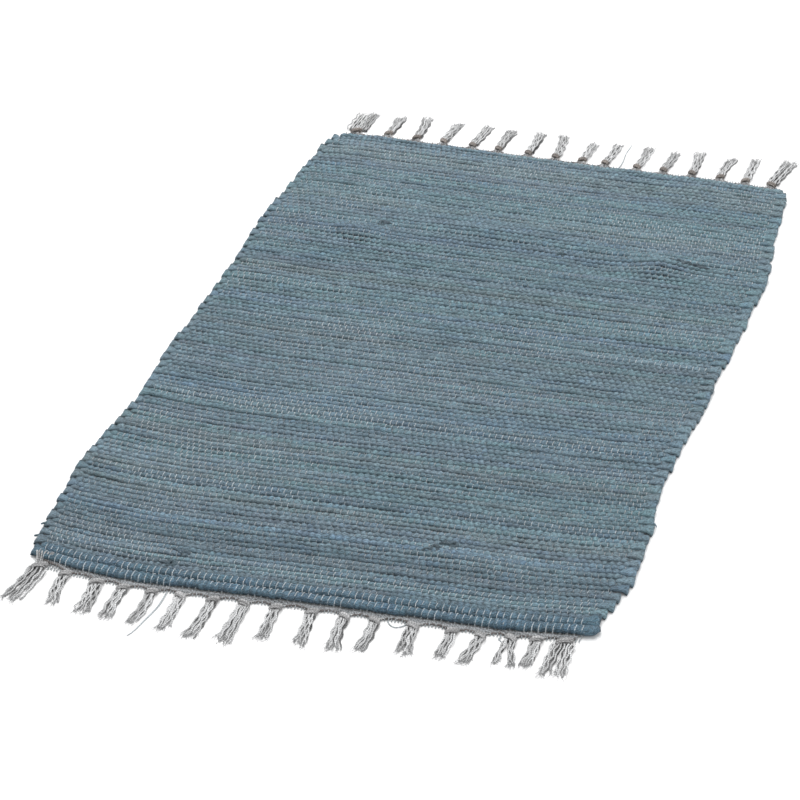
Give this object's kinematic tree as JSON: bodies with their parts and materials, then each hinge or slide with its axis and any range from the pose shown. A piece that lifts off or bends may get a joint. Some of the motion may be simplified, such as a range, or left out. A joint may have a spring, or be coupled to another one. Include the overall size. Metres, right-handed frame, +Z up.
{
  "type": "woven rag rug kitchen mat",
  "caption": "Flat rectangular mat handwoven from blue cotton rag strips on a grey yarn warp, with a yarn heading and knotted tassel fringe at each short end.",
  "frame": {"origin": "centre of the whole mat's outline, fringes included, on the floor", "axes": "+Y along the mat's length towards the far fringe of sixteen tassels, +X across its width, +Z up from the floor"},
  "size_m": [0.609, 1.0645, 0.0078],
  "materials": {
    "rag_cotton": "matte handwoven cotton rag strips in mixed steel blue, teal and denim blue, crossed by thin light grey warp yarn",
    "grey_yarn": "matte plied cotton yarn, light grey, frayed at the ends"
  },
  "bodies": {
    "root": {"cloth": "rag_cotton", "heading_near": "grey_yarn", "heading_far": "grey_yarn", "tassel_near_01": "grey_yarn", "tassel_near_02": "grey_yarn", "tassel_near_03": "grey_yarn", "tassel_near_04": "grey_yarn", "tassel_near_05": "grey_yarn", "tassel_near_06": "grey_yarn", "tassel_near_07": "grey_yarn", "tassel_near_08": "grey_yarn", "tassel_near_09": "grey_yarn", "tassel_near_10": "grey_yarn", "tassel_near_11": "grey_yarn", "tassel_near_12": "grey_yarn", "tassel_near_13": "grey_yarn", "tassel_near_14": "grey_yarn", "tassel_near_15": "grey_yarn", "tassel_near_16": "grey_yarn", "tassel_near_17": "grey_yarn", "tassel_near_18": "grey_yarn", "tassel_far_01": "grey_yarn", "tassel_far_02": "grey_yarn", "tassel_far_03": "grey_yarn", "tassel_far_04": "grey_yarn", "tassel_far_05": "grey_yarn", "tassel_far_06": "grey_yarn", "tassel_far_07": "grey_yarn", "tassel_far_08": "grey_yarn", "tassel_far_09": "grey_yarn", "tassel_far_10": "grey_yarn", "tassel_far_11": "grey_yarn", "tassel_far_12": "grey_yarn", "tassel_far_13": "grey_yarn", "tassel_far_14": "grey_yarn", "tassel_far_15": "grey_yarn", "tassel_far_16": "grey_yarn"}
  },
  "joints": []
}
